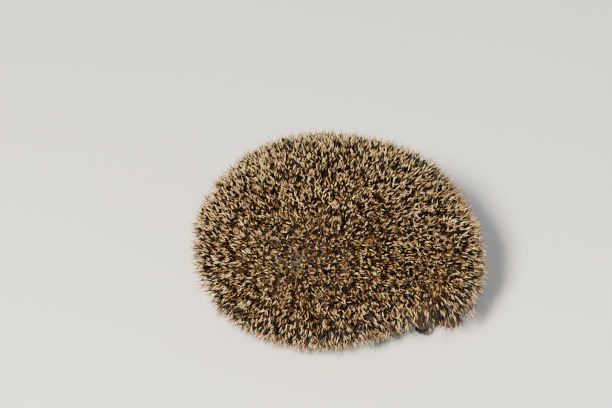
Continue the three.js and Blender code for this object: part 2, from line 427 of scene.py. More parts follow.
def strands(name, roots, directions, lengths, radii, bends, rings, sides, tones):
    """Many strands as one mesh, with how far along and which tone each point is."""
    total, levels = len(roots), len(rings)
    helper = np.where(np.abs(directions[:, 2:]) > 0.9, [[1.0, 0, 0]], [[0, 0, 1.0]])
    across = unit(np.cross(directions, helper))
    upward = np.cross(directions, across)
    share = np.array([ring[0] for ring in rings] + [1.0])
    width = np.array([ring[1] for ring in rings])
    line = directions[:, None] * share[None, :, None] + bends[:, None] * share[None, :, None] ** 2
    centres = roots[:, None] + line * lengths[:, None, None]
    angles = np.arange(sides) * 2 * math.pi / sides
    cosine, sine = np.cos(angles)[:, None], np.sin(angles)[:, None]
    round_way = across[:, None] * cosine + upward[:, None] * sine
    spread = round_way[:, None] * (width[None, :] * radii[:, None])[:, :, None, None]
    shell = (centres[:, :levels, None] + spread).reshape(total, -1, 3)
    points = np.concatenate([shell, centres[:, levels:], roots[:, None]], 1)

    faces = []
    tip, base = levels * sides, levels * sides + 1
    for side in range(sides):
        following = (side + 1) % sides
        for level in range(levels - 1):
            low, high = level * sides, (level + 1) * sides
            faces.append((low + side, low + following, high + following))
            faces.append((low + side, high + following, high + side))
        last = (levels - 1) * sides
        faces.append((last + side, last + following, tip))
        faces.append((following, side, base))
    per_strand = points.shape[1]
    steps = (np.arange(total) * per_strand)[:, None, None]
    triangles = (np.array(faces)[None] + steps).reshape(-1, 3)

    mesh = bpy.data.meshes.new(name)
    mesh.from_pydata(points.reshape(-1, 3).tolist(), [], triangles.tolist())
    along = np.concatenate([np.repeat(share[:levels], sides), [1.0, 0.0]])
    add_values(mesh, "along", np.tile(along, total))
    add_values(mesh, "tone", np.repeat(tones, per_strand))
    side_share = np.concatenate([np.tile(0.5 + 0.5 * np.cos(angles), levels), [0.5, 0.5]])
    patch = (np.stack([side_share, along], 1) - 0.5) * PATCH
    flat = (unrolled(roots)[:, None] + patch[None]).reshape(-1, 2)
    layer = mesh.uv_layers.new(name="OFBake")
    layer.data.foreach_set("uv", flat[triangles.ravel()].ravel())
    mesh.polygons.foreach_set("use_smooth", np.ones(len(mesh.polygons), bool))
    mesh.update()
    piece = bpy.data.objects.new(name, mesh)
    bpy.context.scene.collection.objects.link(piece)
    return piece


def above_floor(roots, ways, lengths, room=FLOOR_ROOM):
    """Shortens the strands whose tips would reach nearer to the floor than room."""
    fall = np.maximum(-ways[:, 2], 1e-6)
    return np.minimum(lengths, (roots[:, 2] - room) / fall)


def add_values(mesh, name, values):
    """A number on each of a mesh's points."""
    attribute = mesh.attributes.new(name, "FLOAT", "POINT")
    attribute.data.foreach_set("value", np.asarray(values, np.float32))


def strand_pieces(name, slot, material, roots, *measures, rings, sides, tones):
    """Strands in as many pieces as keep each one light, split from left to right."""
    most = MOST_FACES // (sides * 2 * len(rings))
    parts = max(1, math.ceil(len(roots) / most))
    for number, chosen in enumerate(np.array_split(np.argsort(roots[:, 0]), parts)):
        part_name = f"{name}_{number + 1}" if parts > 1 else name
        parted = [values[chosen] for values in (roots, *measures)]
        piece = strands(part_name, *parted, rings, sides, tones[chosen])
        piece.data.materials.append(material)
        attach(piece, "root")


# ---------------------------------------------------------------- where the coat changes

SPINE_TEST = 14 * MM  # a spine of this length must clear the hollow under the brow
SPINES_FROM_Z = (15 * MM, 18 * MM)  # heights between which the spines begin
SPINES_FROM_SLOPE = (-0.86, -0.72)  # the same, by how far up the skin faces
FOOT_HEIGHT = 10 * MM
SNOUT_LENGTH = 33 * MM
SNOUT_RADII = (21 * MM, 7 * MM)  # at its start and at its end


def under_brow(points):
    """1 in the hollow where the face looks out, and 0 outside it."""
    centre, semi = BROW_HOLLOW
    return smooth_share(1.06, 0.97, inside_ellipsoid(points, centre, semi))


def down_face(points):
    """How far down the snout each point lies, and how far off its middle for the snout's width."""
    off = points - np.array(SKULL)
    down = off @ np.array(FACE_DOWN)
    aside = np.linalg.norm(off - down[:, None] * np.array(FACE_DOWN), axis=1)
    return down, aside / np.interp(down, (0, SNOUT_LENGTH), SNOUT_RADII)


def on_face(points):
    """1 on cheeks and snout."""
    down, aside = down_face(points)
    return smooth_share(1.2, 1.08, aside) * smooth_share(-3 * MM, 4 * MM, down)


def near_ears(points):
    """1 on the ears."""
    nearest = np.full(len(points), 9.0)
    for side in SIDES:
        low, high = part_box(f"ear_{side}")
        nearest = np.minimum(nearest, inside_ellipsoid(points, (low + high) / 2, (high - low) / 2))
    return smooth_share(1.15, 0.95, nearest)


def near_tail(points):
    """1 on the tail."""
    start, end, thick, _ = TAIL
    return smooth_share(2.2 * thick, 1.6 * thick, off_line(points, start.lerp(end, 0.4), end))


def on_feet(points):
    """1 on the paws."""
    share = np.zeros(len(points))
    for name in LEGS:
        low, high = (np.array(corner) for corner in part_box(name))
        within = np.all((points > low - MM) & (points < high + MM), axis=1)
        share = np.maximum(share, within)
    return share * smooth_share(FOOT_HEIGHT, FOOT_HEIGHT - 2 * MM, points[:, 2])


def mantle_share(points, normals):
    """1 where spines grow."""
    high = smooth_share(*SPINES_FROM_Z, points[:, 2])
    outward = smooth_share(*SPINES_FROM_SLOPE, normals[:, 2])
    hollow = np.maximum(under_brow(points + normals * SPINE_TEST), under_brow(points * 1.02))
    bare = np.maximum.reduce([hollow, on_face(points), near_ears(points), near_tail(points)])
    return high * outward * (1 - bare)


# ---------------------------------------------------------------- materials


class Paint:
    """A new material, with short ways to add the nodes that the materials here share."""

    def __init__(self, name):
        self.material = bpy.data.materials.new(name)
        self.material.use_nodes = True
        self.tree = self.material.node_tree
        self.shader = self.tree.nodes["Principled BSDF"].inputs

    def add(self, kind, **values):
        """A node with these values."""
        node = self.tree.nodes.new(kind)
        for key, value in values.items():
            setattr(node, key, value)
        return node

    def link(self, output, entry):
        """Joins an output to an input."""
        self.tree.links.new(output, entry)

    def number(self, name):
        """A number kept on each point of the mesh."""
        return self.add("ShaderNodeAttribute", attribute_name=name).outputs["Fac"]

    def texture(self, kind, output, **inputs):
        """A texture on the piece's own place."""
        node = self.add(kind)
        for name, value in inputs.items():
            node.inputs[name].default_value = value
        place = self.add("ShaderNodeTexCoord")
        self.link(place.outputs["Object"], node.inputs["Vector"])
        return node.outputs[output]

    def speckle(self, scale, detail):
        """Fine noise."""
        return self.texture("ShaderNodeTexNoise", "Fac", Scale=scale, Detail=detail)

    def ramp(self, factor, *stops):
        """Colours along a factor, by stops of (position, colour)."""
        node = self.add("ShaderNodeValToRGB")
        elements = node.color_ramp.elements
        while len(elements) < len(stops):
            elements.new(0.5)
        for element, (position, rgb) in zip(elements, stops, strict=True):
            element.position = position
            element.color = (*rgb, 1)
        self.link(factor, node.inputs["Fac"])
        return node.outputs["Color"]

    def product(self, first, second):
        """Two colours multiplied."""
        node = self.add("ShaderNodeMix", data_type="RGBA", blend_type="MULTIPLY")
        node.inputs["Factor"].default_value = 1
        self.link(first, node.inputs["A"])
        self.link(second, node.inputs["B"])
        return node.outputs["Result"]

    def finish(self, grain, roughness, strength, depth, sunk=False):
        """Roughness between two values and a bump, both from the grain; gives the material."""
        spread = self.add("ShaderNodeMapRange")
        spread.inputs["To Min"].default_value, spread.inputs["To Max"].default_value = roughness
        self.link(grain, spread.inputs["Value"])
        self.link(spread.outputs["Result"], self.shader["Roughness"])
        bump = self.add("ShaderNodeBump", invert=sunk)
        bump.inputs["Strength"].default_value = strength
        bump.inputs["Distance"].default_value = depth
        self.link(grain, bump.inputs["Height"])
        self.link(bump.outputs["Normal"], self.shader["Normal"])
        return self.material


def scaled(rgb, factor):
    """A colour made lighter or darker."""
    return tuple(min(1, channel * factor) for channel in rgb)


WHITE = (1, 1, 1)
BAND_SHIFT = 0.05  # how far a pale spine's bands stand nearer to its root
SPINE_GLOSS = 0.28
EYE_GLOSS = 0.16
NOSE_GLOSS = 0.2


def spine_material(settings):
    """Banded keratin: cream tip, dark band, tan shaft, darker at the root as painted shade."""
    paint = Paint("banded_spine")
    tone = paint.number("tone")
    shift = paint.add("ShaderNodeMath", operation="MULTIPLY_ADD")
    shift.inputs[1].default_value = BAND_SHIFT
    paint.link(tone, shift.inputs[0])
    paint.link(paint.number("along"), shift.inputs[2])
    tip, band, shaft = settings.tip, settings.band, settings.shaft
    bands = paint.ramp(
        shift.outputs["Value"],
        # The shaft darkens towards the root: painted shade where the spines crowd together.
        (0.0, scaled(shaft, 0.25)),
        (0.35, scaled(shaft, 0.7)),
        (0.53, shaft),
        (0.58, band),
        (0.86, band),
        (0.895, settings.under_tip),
        (0.945, scaled(tip, 0.9)),
        (1.0, tip),
    )
    warmth = paint.ramp(
        tone,
        (0.0, (0.22, 0.155, 0.11)),
        (0.4, (0.41, 0.33, 0.26)),
        (0.7, (0.61, 0.54, 0.465)),
        (0.88, (0.9, 0.84, 0.75)),
        (1.0, WHITE),
    )
    paint.link(paint.product(bands, warmth), paint.shader["Base Color"])
    paint.shader["Specular IOR Level"].default_value = SPINE_GLOSS
    return paint.finish(paint.speckle(900, 2), (0.28, 0.46), 0.15, 0.05 * MM)


def fur_material(settings):
    """Hair that runs from dark to pale by its tone, a little darker at the root as painted shade.
    """
    paint = Paint("soft_hair")
    shades = paint.ramp(paint.number("tone"), (0.0, settings.dark), (1.0, settings.pale))
    # Darker towards the root: painted shade within the fur.
    depth = paint.ramp(
        paint.number("along"), (0.0, (0.62, 0.6, 0.58)), (0.6, WHITE), (1.0, WHITE)
    )
    paint.link(paint.product(shades, depth), paint.shader["Base Color"])
    return paint.finish(paint.speckle(1200, 2), (0.55, 0.75), 0.1, 0.03 * MM)


def skin_material(settings):
    """Bare skin on the back, near black partly as painted shade, and short felted hair elsewhere,
    by the skin's own values.
    """
    paint = Paint("skin")
    dark, pale = scaled(settings.dark, 0.4), scaled(settings.pale, 0.7)
    shades = paint.ramp(paint.number("tone"), (0.0, dark), (1.0, pale))
    mix = paint.add("ShaderNodeMix", data_type="RGBA")
    paint.link(paint.number("bare"), mix.inputs["Factor"])
    paint.link(shades, mix.inputs["A"])
    # Where spines grow the skin takes this near-black colour, partly painted shade between the
    # spines.
    mix.inputs["B"].default_value = (*settings.skin, 1)
    mottle = paint.speckle(260, 5)
    patchy = paint.ramp(mottle, (0.3, (0.75, 0.72, 0.7)), (0.7, (1.1, 1.1, 1.1)))
    paint.link(paint.product(mix.outputs["Result"], patchy), paint.shader["Base Color"])
    return paint.finish(mottle, (0.6, 0.85), 0.5, 0.3 * MM)


def eye_material(settings):
    """A wet dark eye."""
    paint = Paint("wet_eye")
    depth = paint.speckle(700, 3)
    shades = paint.ramp(depth, (0.3, scaled(settings.eye, 0.4)), (0.8, settings.eye))
    paint.link(shades, paint.shader["Base Color"])
    paint.shader["Specular IOR Level"].default_value = EYE_GLOSS
    return paint.finish(depth, (0.08, 0.14), 0.02, 0.02 * MM)


def nose_material(settings):
    """Moist pebbled skin, with painted shade in the sunk grooves between the pebbles."""
    paint = Paint("moist_nose")
    pebbles = paint.texture("ShaderNodeTexVoronoi", "Distance", Scale=1900)
    pale, dark = scaled(settings.nose, 1.8), scaled(settings.nose, 0.6)
    # Pale on the pebbles' tops and dark in the grooves that the bump sinks: painted shade.
    shades = paint.ramp(pebbles, (0.0, pale), (0.7, dark))
    paint.link(shades, paint.shader["Base Color"])
    paint.shader["Specular IOR Level"].default_value = NOSE_GLOSS
    return paint.finish(pebbles, (0.25, 0.45), 0.6, 0.12 * MM, sunk=True)


def strand_material(name, base, tip, roughness):
    """A strand that goes from one colour at its base to another at its tip, faintly grained."""
    paint = Paint(name)
    shades = paint.ramp(paint.number("along"), (0.1, base), (0.75, tip))
    grain = paint.speckle(1500, 3)
    streaks = paint.ramp(grain, (0.25, (0.72, 0.70, 0.68)), (0.75, WHITE))
    paint.link(paint.product(shades, streaks), paint.shader["Base Color"])
    return paint.finish(grain, roughness, 0.2, 0.05 * MM)


def floor_material(settings):
    """Matt pale paper."""
    paint = Paint("studio_floor")
    paint.shader["Base Color"].default_value = (*settings.floor, 1)
    return paint.finish(paint.speckle(40, 4), (0.8, 0.95), 0.05, 0.2 * MM)


# ---------------------------------------------------------------- the skin

FLESH = ["head", "neck", "trunk", "belly", "muzzle", "ear_left", "ear_right", "tail", *LEGS]
MASS_VOXEL = 2 * MM  # grid on which the masses melt into one
HOLLOWED_VOXEL = 1.8 * MM  # the same, once the brow is hollowed out
SKIN_VOXEL = 1.05 * MM  # the same, with face, ears, legs and tail
SNOUT_REACH = 11 * MM  # the skin is made finer within this distance of the snout's tip
EYE_RADIUS = 3.1 * MM
LID_HEIGHT = 0.55 * MM  # of the lids over the eyeball
LID_REACH = 7.5 * MM  # the skin is made finer within this distance of an eye
EYE_OPENING = (54, 40)  # degrees, half the opening along the face and across it
LID_EDGE = (-4, 7)  # degrees, over which the lid's edge rises round the opening
EYE_REACH = 5 * MM  # the skin is drawn to the eyeball within this distance
EAR_CUP = 1.5 * MM
# The mouth's left line, in millimetres down the snout, to its left and to its front.
MOUTH_PATH = [(33, 0, -3.4), (29, 2.6, -3.4), (24, 5.2, -3.6), (18, 7.6, -3.4)]
MOUTH_WIDTH = 0.9 * MM
MOUTH_DEPTH = 0.8 * MM


def rounded_mass(name, depth):
    """One of the body's masses, shrunk to the skin, with its own flatter underside."""
    centre, semi, _, heading = MASSES[name]
    form = ball(centre, semi - Vector((depth,) * 3), turned(heading), segments=64)
    low = (centre.z - SKIN_FLOOR) / (semi.z - depth)
    for vertex in form.data.vertices:
        if vertex.co.z < centre.z:
            vertex.co.z = centre.z + (vertex.co.z - centre.z) * low
    return form


def open_brow(body):
    """Hollows the underside of the head, where the face looks out."""
    hollow = ball(*BROW_HOLLOW, segments=64)
    finish(body, "BOOLEAN", object=hollow, operation="DIFFERENCE", solver="EXACT")
    bpy.data.objects.remove(hollow)


def face_point(down, left, front):
    """A point of the face, by distances down the snout, to its left and to its front."""
    return SKULL + FACE_DOWN * down + FACE_LEFT * left + FACE_FRONT * front


def face_forms():
    """Skull, tapering snout, cheeks and lower jaw."""
    snout = face_point(3 * MM, 0, 0), face_point(30.5 * MM, 0, 0.6 * MM)
    jaw = face_point(12 * MM, 0, -8 * MM), face_point(28 * MM, 0, -4.4 * MM)
    forms = [ball(SKULL, mm(21, 20, 20)), *bar(*snout, 16 * MM, 4.3 * MM)]
    for side in (-1, 1):
        forms.append(ball(face_point(13 * MM, side * 9 * MM, -2 * MM), mm(8, 8, 10)))
        forms.append(ball(face_point(26.5 * MM, side * 2.6 * MM, 0.5 * MM), mm(3.4, 3.2, 5)))
    return forms + bar(*jaw, 6 * MM, 2.6 * MM)


def ear_turn(side):
    """How an ear is turned out from the head."""
    return turned(EAR_FLARE if side == "left" else -EAR_FLARE)


def ear_form(side):
    """A round thin ear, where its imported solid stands."""
    return ball(middle(f"ear_{side}"), EAR_SEMI, ear_turn(side))


def toe_points(leg, index):
    """Where a toe starts and ends, and which way it points."""
    paw, place, heading, _, _ = leg
    fan = index / (TOES - 1) - 0.5
    angle = math.radians(heading + fan * paw["spread"])
    out = Vector((math.cos(angle), math.sin(angle), 0))
    thickness = PAW_HEIGHT * 0.3
    reach = paw["length"] / 2 - abs(fan) * paw["toe"]
    root = place + out * reach * 0.6 + UP * (thickness + MM)
    tip = place + out * (reach * 0.6 + paw["toe"]) + UP * thickness
    return root, tip, out


def leg_forms(leg):
    """Pad, five toes and the short visible limb."""
    paw, place, heading, top, thickness = leg
    semi = Vector((paw["length"] / 2, paw["width"] / 2, PAW_HEIGHT * 0.62)) - mm(0.4, 0.4, 0)
    forms = [ball(place + UP * PAW_HEIGHT / 2, semi, turned(heading), segments=32)]
    for index in range(TOES):
        root, tip, _ = toe_points(leg, index)
        forms += bar(root, tip, PAW_HEIGHT * 0.28, PAW_HEIGHT * 0.26, vertices=16)
    forms += bar(top, place + UP * PAW_HEIGHT * 0.8, thickness * 0.9, thickness * 0.62)
    return forms


def refine(piece, centre, reach, cuts):
    """Cuts the faces near a point into smaller ones."""
    mesh = piece.data
    for parts in (mesh.vertices, mesh.edges):
        parts.foreach_set("select", np.zeros(len(parts), bool))
    near = off_place(read(mesh.polygons, "center"), centre) < reach
    mesh.polygons.foreach_set("select", near)
    choose([piece])
    bpy.ops.object.mode_set(mode="EDIT")
    bpy.ops.mesh.select_mode(type="FACE")
    bpy.ops.mesh.subdivide(number_cuts=cuts)
    bpy.ops.object.mode_set(mode="OBJECT")


def reshape(piece, move):
    """Moves every point of a piece by a rule that takes and returns all the points."""
    mesh = piece.data
    mesh.vertices.foreach_set("co", move(read(mesh.vertices, "co")).ravel())
    mesh.update()


def eye_facing(side):
    """Which way an eye looks: away from the middle of the face, a little to its front."""
    centre = middle(f"eye_{side}")
    off = centre - SKULL
    return (off - FACE_DOWN * off.dot(FACE_DOWN) + FACE_DOWN * 3 * MM).normalized()


def with_lids(points, side):
    """Draws the skin round an eyeball, with a rim of lids about an almond opening."""
    centre, facing = np.array(middle(f"eye_{side}")), eye_facing(side)
    along = (FACE_DOWN - facing * FACE_DOWN.dot(facing)).normalized()
    across = facing.cross(along)
    off = points - centre
    apart = np.linalg.norm(off, axis=1)
    way = off / np.maximum(apart, 1e-9)[:, None]
    angle = np.degrees(np.arccos(np.clip(way @ np.array(facing), -1, 1)))
    flat = unit(np.stack([way @ np.array(along), way @ np.array(across)], 1))
    opening = np.hypot(flat[:, 0] * EYE_OPENING[0], flat[:, 1] * EYE_OPENING[1])
    past = angle - opening
    rim = LID_HEIGHT * np.exp(-np.square(np.maximum(past - 9, 0) / 26))
    covered = EYE_RADIUS + rim
    inside = EYE_RADIUS - 0.7 * MM
    reach = inside + (covered - inside) * smooth_share(*LID_EDGE, past)
    hold = smooth_share(78, 48, past) * smooth_share(EYE_REACH + 1.8 * MM, EYE_REACH, apart)
    return points + way * ((reach - apart) * hold)[:, None]


def with_ear_cup(points, side):
    """Hollows the front of an ear and thins its rim."""
    local = (points - np.array(middle(f"ear_{side}"))) @ np.array(ear_turn(side))
    flat = np.hypot(local[:, 0] / EAR_SEMI.x, local[:, 2] / EAR_SEMI.z)
    front = (np.abs(local[:, 1]) < 3 * MM) & (local[:, 1] < 0.2 * MM)
    shift = np.zeros_like(points)
    shift[:, 1] = smooth_share(0.92, 0.45, flat) * EAR_CUP * front
    return points + shift @ np.array(ear_turn(side)).T


def with_mouth(points):
    """Presses a line into each side of the snout, from under the nose back along the jaw."""
    deep = np.zeros(len(points))
    for side in (-1, 1):
        places = [face_point(d * MM, side * s * MM, f * MM) for d, s, f in MOUTH_PATH]
        for start, end in zip(places, places[1:]):
            near = np.exp(-np.square(off_line(points, start, end) / MOUTH_WIDTH))
            deep = np.maximum(deep, near)
    inward = unit(np.array(face_point(22 * MM, 0, 0)) - points)
    return points + inward * (deep * MOUTH_DEPTH)[:, None]


def make_skin(settings):
    """One closed skin for the whole animal."""
    body = join([rounded_mass(name, settings.depth) for name in MASSES], "skin")
    finish(body, "REMESH", mode="VOXEL", voxel_size=MASS_VOXEL)
    open_brow(body)
    finish(body, "REMESH", mode="VOXEL", voxel_size=HOLLOWED_VOXEL)
    finish(body, "SMOOTH", factor=0.5, iterations=24)
    small = [ball(*BELLY)] + face_forms() + bar(*TAIL)
    small += [ear_form(side) for side in SIDES]
    for leg in LEGS.values():
        small += leg_forms(leg)
    skin = join([body, *small], "skin")
    finish(skin, "REMESH", mode="VOXEL", voxel_size=SKIN_VOXEL)
    finish(skin, "SMOOTH", factor=0.5, iterations=4)
    for side in SIDES:
        refine(skin, middle(f"eye_{side}"), LID_REACH, 2)
        refine(skin, middle(f"eye_{side}"), EYE_REACH, 1)
    refine(skin, face_point(27 * MM, 0, -3 * MM), SNOUT_REACH, 1)
    for side in SIDES:
        reshape(skin, lambda points: with_lids(points, side))
        reshape(skin, lambda points: with_ear_cup(points, side))
    reshape(skin, with_mouth)
    reshape(skin, lambda points: np.maximum(points, (-9, -9, FLOOR_CLEARANCE)))
    choose([skin])
    bpy.ops.object.shade_smooth()
    points, normals, _ = surface(skin)
    add_values(skin.data, "tone", fur_tone(points))
    add_values(skin.data, "bare", mantle_share(points, normals))
    skin.data.materials.append(skin_material(settings))
    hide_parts(*FLESH)
    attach(skin, "root")


PLAIN_TONE = 0.78
SNOUT_SHADE = 0.55  # how much darker the tip of the snout is, and so on
FOOT_SHADE = 0.35
EAR_SHADE = 0.3
EYE_RING = (8 * MM, 3.4 * MM)  # dark ring round an eye, from its edge to where it is darkest
FUR_MOTTLING = 0.12
FUR_MOTTLE_SIZE = 9 * MM


def fur_tone(points):
    """Markings of skin and fur: 0 is dark, 1 is pale."""
    down, _ = down_face(points)
    tone = PLAIN_TONE - SNOUT_SHADE * smooth_share(12 * MM, 26 * MM, down) * on_face(points)
    for side in SIDES:
        tone = tone - smooth_share(*EYE_RING, off_place(points, middle(f"eye_{side}")))
    tone = tone - FOOT_SHADE * on_feet(points) - EAR_SHADE * near_ears(points)
    return np.clip(tone + FUR_MOTTLING * ripple(points, FUR_MOTTLE_SIZE, 4), 0, 1)


# ---------------------------------------------------------------- the spines

RUMP_X = (-30 * MM, -78 * MM)  # from where the rump's spines rise to where they rise most
RUMP_LIFT = 0.5
HEAD_X = (12 * MM, 56 * MM)  # from where the head's spines lean down to where they do most
HEAD_DROOP = 0.42
SKIRT_Z = (40 * MM, 18 * MM)  # the same for the skirt, by height
SKIRT_DROOP = 0.5
BROW_DROOP = 0.9
BROW_SHORTER = 0.35  # how much shorter the shortest spines are at the brow's edge
CLOSER_X = (40 * MM, 62 * MM)  # from where the roots stand closer to where they do most
CLOSER = 0.24
CLUMPING = 0.54  # how much neighbours lean together
CLUMP_SIZE = 7 * MM
DISORDER = 0.42
LENGTH_SPREAD = 0.09  # from spine to spine
CLUMP_LENGTH_SPREAD = 0.1  # from clump to clump
THICKNESS_SPREAD = 0.12
SLENDER_LENGTH = (9 * MM, 17 * MM)  # spines of the lesser length are the slenderest
SLENDER = 0.25  # how much slenderer they are
SPINE_BEND = 0.05
SPINE_ROOT_DEPTH = 1 * MM
MOTTLING = 0.16
MOTTLE_SIZE = 26 * MM  # paler and darker patches of the back are about this wide
SKIRT_CLEARANCE = 3 * MM  # least height of a spine's tip before its length varies
TIP_STAND = 1.2 * MM  # how far the tips may stand proud of the solids
BROW_ROOM = 1.04  # share of the hollow under the brow that spines leave free
REACH_STEPS = 14  # halvings of a spine's length, to about a thousandth of a millimetre


def room_left(points):
    """Below 0 where a spine's tip may still be: inside the coat and above the floor."""
    foot, top, foot_radius, top_radius = CREASE
    radius = foot_radius + (top_radius - foot_radius) * along_line(points, foot, top)
    groove = radius - off_line(points, foot, top)
    coat = outside_coat(points) - TIP_STAND
    hollow = (BROW_ROOM - inside_ellipsoid(points, *BROW_HOLLOW)) * MM
    return np.maximum.reduce([coat, SKIRT_CLEARANCE - points[:, 2], groove, hollow])


def reach_of(roots, directions, shortest, longest):
    """How long each spine is when its tip just reaches the outside of the coat."""
    low = shortest * (1 - BROW_SHORTER * brow_edge(roots))
    high = np.full(len(roots), longest)
    for _ in range(REACH_STEPS):
        half = (low + high) / 2
        fits = room_left(roots + directions * half[:, None]) < 0
        low, high = np.where(fits, half, low), np.where(fits, high, half)
    return low


def brow_edge(points):
    """1 at the lower edge of the brow, where short spines hang over the face."""
    near = inside_ellipsoid(points, *BROW_HOLLOW)
    front = smooth_share(-25 * MM, -38 * MM, points[:, 1])
    return smooth_share(1.45, 1.05, near) * front


def spine_closeness(points):
    """Roots stand closer on the head, whose spines fan out more."""
    return 1 - CLOSER * smooth_share(*CLOSER_X, points[:, 0])


def spine_directions(roots, normals, random):
    """Which way each spine points: off the skin, up at the rump, down at the skirt, in disorder."""
    clumps = np.stack([ripple(roots, CLUMP_SIZE, seed) for seed in (1, 2, 3)], 1) * CLUMPING
    loose = random.standard_normal((len(roots), 3)) * DISORDER
    off = clumps + loose
    off -= normals * (off * normals).sum(1, keepdims=True)
    rump = smooth_share(*RUMP_X, roots[:, 0])
    skirt = SKIRT_DROOP * smooth_share(*SKIRT_Z, roots[:, 2]) * (1 - rump)
    head = smooth_share(*HEAD_X, roots[:, 0])
    rise = RUMP_LIFT * rump - skirt - HEAD_DROOP * head - BROW_DROOP * brow_edge(roots)
    return unit(normals + off + np.array(UP) * rise[:, None])


def make_spines(settings, skin):
    """Spines all over the back and brow."""
    random = np.random.default_rng(11)
    roots, normals = scatter(skin, mantle_share, settings.spacing, random, spine_closeness)
    total = len(roots)
    directions = spine_directions(roots, normals, random)
    lengths = reach_of(roots, directions, settings.shortest, settings.longest)
    lengths *= 1 + LENGTH_SPREAD * np.clip(random.standard_normal(total), -2.5, 1.2)
    lengths *= 1 + CLUMP_LENGTH_SPREAD * ripple(roots, CLUMP_SIZE, 6)
    radii = settings.thickness / 2 * (1 + THICKNESS_SPREAD * random.standard_normal(total))
    radii *= 1 - SLENDER + SLENDER * smooth_share(*SLENDER_LENGTH, lengths)
    bends = np.cross(directions, random.standard_normal((total, 3))) * SPINE_BEND
    tones = np.clip(random.random(total) + MOTTLING * ripple(roots, MOTTLE_SIZE, 7), 0, 1)
    roots = roots - normals * SPINE_ROOT_DEPTH
    lengths = above_floor(roots, directions + bends, lengths + SPINE_ROOT_DEPTH)
    strand_pieces(
        "spines", "spiny_coat", spine_material(settings), roots, directions, lengths, radii, bends,
        rings=SPINE_RINGS, sides=SPINE_SIDES, tones=tones,
    )


# ---------------------------------------------------------------- fur

TUFT_SIZE = 4 * MM  # hair leans together over about this width
TUFTING = 0.4  # how much it does so
HAIR_DISORDER = 0.1
HAIR_LENGTH_SPREAD = 0.2
TONE_SPREAD = 0.16
HAIR_BEND = 0.2  # along the way it grows
HAIR_PRESS = 0.1  # towards the skin
HAIR_ROOT_DEPTH = 0.12 * MM
LEAST_HAIR = 0.6 * MM


def lay_fur(skin, material, seed, zone):
    """Locks of hair over part of the skin, lying the way they grow."""
    name, slot, share_at, flow_at, length_at, (spacing, thickness, lift, droop) = zone
    random = np.random.default_rng(seed)
    roots, normals = scatter(skin, share_at, spacing * MM, random)
    flow = flow_at(roots)
    flow = unit(flow - normals * (flow * normals).sum(1, keepdims=True) + normals * 1e-6)
    tufts = np.stack([ripple(roots, TUFT_SIZE, seed + axis) for axis in range(3)], 1) * TUFTING
    loose = random.standard_normal(roots.shape) * HAIR_DISORDER
    directions = unit(flow * (1 - lift) + normals * lift + tufts * (1 - lift) + loose)
    lengths = length_at(roots) * (1 + HAIR_LENGTH_SPREAD * random.standard_normal(len(roots)))
    bends = flow * HAIR_BEND - normals * HAIR_PRESS - np.array(UP) * droop
    lengths = above_floor(roots, directions + bends, lengths)
    kept = lengths > LEAST_HAIR
    roots, normals, directions, lengths, bends = (
        values[kept] for values in (roots, normals, directions, lengths, bends)
    )
    tones = fur_tone(roots) + TONE_SPREAD * random.standard_normal(len(roots))
    radii = thickness * MM / 2 * (0.8 + 0.4 * random.random(len(roots)))
    strand_pieces(
        name, slot, material, roots - normals * HAIR_ROOT_DEPTH, directions, lengths, radii, bends,
        rings=HAIR_RINGS, sides=HAIR_SIDES, tones=np.clip(tones, 0, 1),
    )


def flow_of_face(points):
    """Hair runs from the nose back over the face."""
    off = points - np.array(SKULL)
    aside = off - (off @ np.array(FACE_DOWN))[:, None] * np.array(FACE_DOWN)
    return unit(aside) * 0.25 - np.array(FACE_DOWN)


def flow_of_flank(points):
    """Hair hangs outwards and back."""
    outward = unit(points * (1, 1, 0))
    return outward * 0.5 + np.array((-0.35, 0, -0.9))


def flow_of_feet(points):
    """Hair runs towards the toes of the nearest paw."""
    best = np.full(len(points), 9.0)
    flow = np.zeros_like(points)
    for paw, place, heading, _, _ in LEGS.values():
        apart = np.linalg.norm((points - np.array(place))[:, :2], axis=1)
        nearer = apart < best
        best = np.where(nearer, apart, best)
        angle = math.radians(heading)
        flow[nearer] = (math.cos(angle), math.sin(angle), -0.15)
    return flow


def face_share(points, _):
    """1 where the fur of the face grows, up to the lids and to the pad of the nose."""
    away = np.ones(len(points))
    for side in SIDES:
        bare = middle(f"eye_{side}") + FACE_DOWN * 0.9 * MM
        away *= smooth_share(3.2 * MM, 3.9 * MM, off_place(points, bare))
    away *= smooth_share(4.0 * MM, 4.7 * MM, off_place(points, middle("nose")))
    return on_face(points) * away * (1 - near_ears(points))


def ear_share(points, _):
    """1 on the ears."""
    return near_ears(points)


def tail_share(points, _):
    """1 on the tail."""
    return near_tail(points)


def feet_share(points, normals):
    """1 on the upper side of the paws."""
    return on_feet(points) * smooth_share(-0.6, 0.2, normals[:, 2])


def flank_share(points, normals):
    """1 below the spines, and less on the underside."""
    other = np.maximum.reduce([on_face(points), near_ears(points), on_feet(points)])
    under = 1 - 0.65 * smooth_share(-0.6, -0.9, normals[:, 2])
    return (1 - mantle_share(points, normals)) * (1 - other) * under


